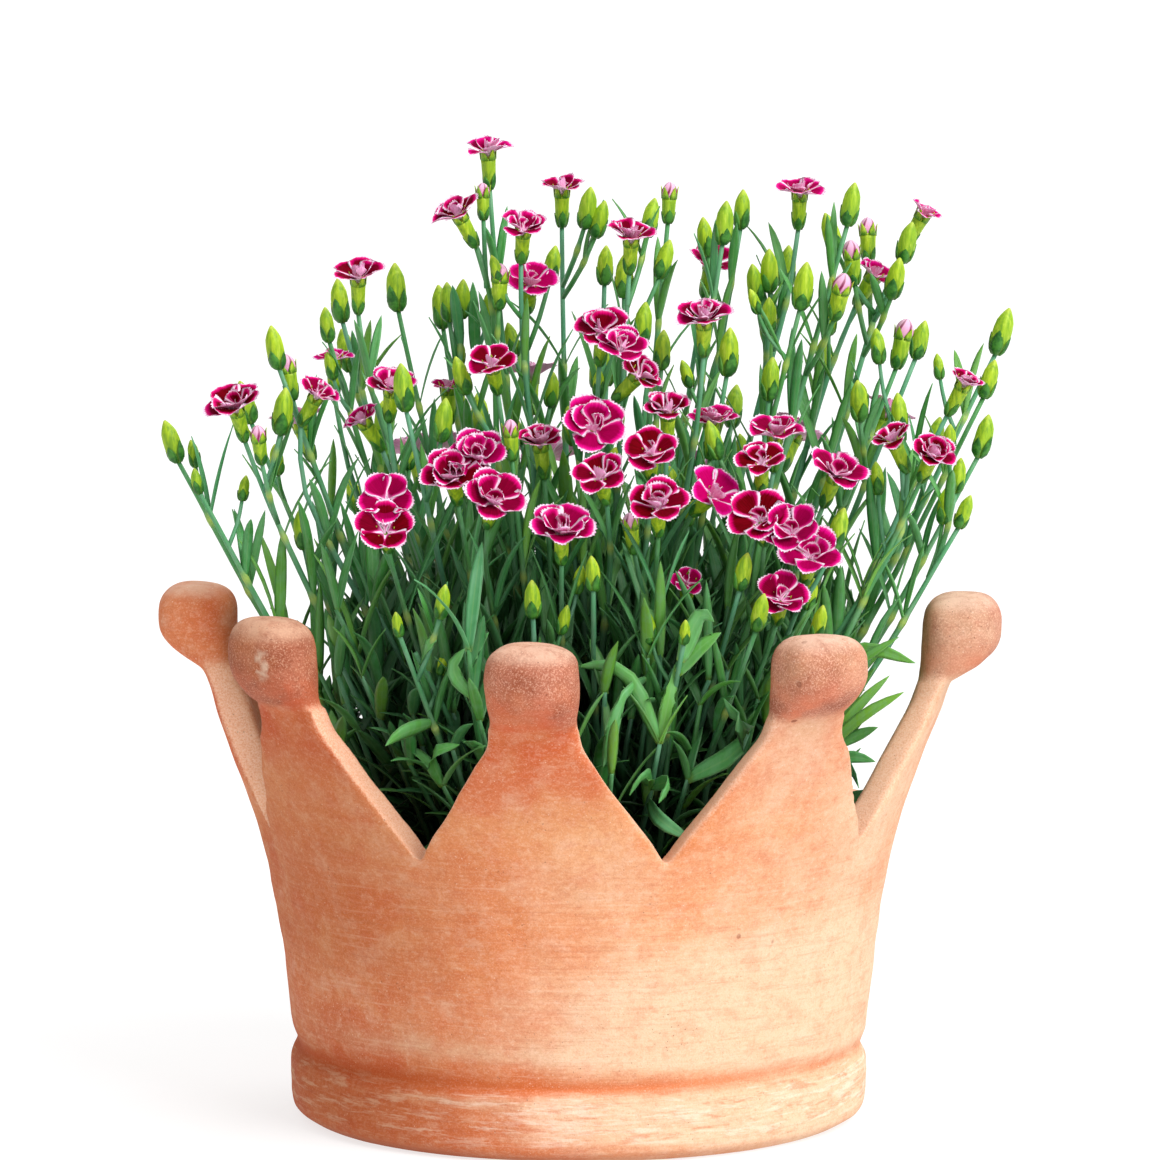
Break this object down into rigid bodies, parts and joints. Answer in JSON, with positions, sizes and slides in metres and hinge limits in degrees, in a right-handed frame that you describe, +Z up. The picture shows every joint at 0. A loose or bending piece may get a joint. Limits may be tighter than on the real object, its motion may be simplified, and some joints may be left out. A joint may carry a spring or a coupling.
{
  "type": "potted dianthus plant",
  "caption": "Potted dianthus in bloom: toothed two-tone pink flowers, buds and narrow leaves on upright stems, in a flared crown-shaped terracotta planter with knobbed points.",
  "frame": {"origin": "centre of the planter's flat underside, on the surface it stands on", "axes": "+Z up; -Y is the front, towards the middle point of the crown; +X to the right seen from the front"},
  "size_m": [0.3575, 0.3447, 0.4101],
  "materials": {
    "terracotta": "matte",
    "soil": "matte",
    "foliage": "matte",
    "petals": "matte"
  },
  "bodies": {
    "root": {"crown_planter": "terracotta", "soil": "soil", "clump_0": "foliage", "clump_1": "foliage", "clump_2": "foliage", "clump_3": "foliage", "clump_4": "foliage", "clump_5": "foliage", "clump_6": "foliage", "bloom_00": "petals", "bloom_01": "petals", "bloom_02": "petals", "bloom_03": "petals", "bloom_04": "petals", "bloom_05": "petals", "bloom_06": "petals", "bloom_07": "petals", "bloom_08": "petals", "bloom_09": "petals", "bloom_10": "petals", "bloom_11": "petals", "bloom_12": "petals", "bloom_13": "petals", "bloom_14": "petals", "bloom_15": "petals", "bloom_16": "petals", "bloom_17": "petals", "bloom_18": "petals", "bloom_19": "petals", "bloom_20": "petals", "bloom_21": "petals", "bloom_22": "petals", "bloom_23": "petals", "bloom_24": "petals", "bloom_25": "petals", "bloom_26": "petals", "bloom_27": "petals", "bloom_28": "petals", "bloom_29": "petals", "bloom_30": "petals", "bloom_31": "petals", "bloom_32": "petals", "bloom_33": "petals", "bloom_34": "petals", "bloom_35": "petals", "bloom_36": "petals", "bloom_37": "petals", "bloom_38": "petals", "bloom_39": "petals", "bloom_40": "petals", "bloom_41": "petals", "bloom_42": "petals", "bloom_43": "petals", "bloom_44": "petals", "bloom_45": "petals", "bloom_46": "petals", "bloom_47": "petals", "bloom_48": "petals", "bloom_49": "petals"}
  },
  "joints": []
}
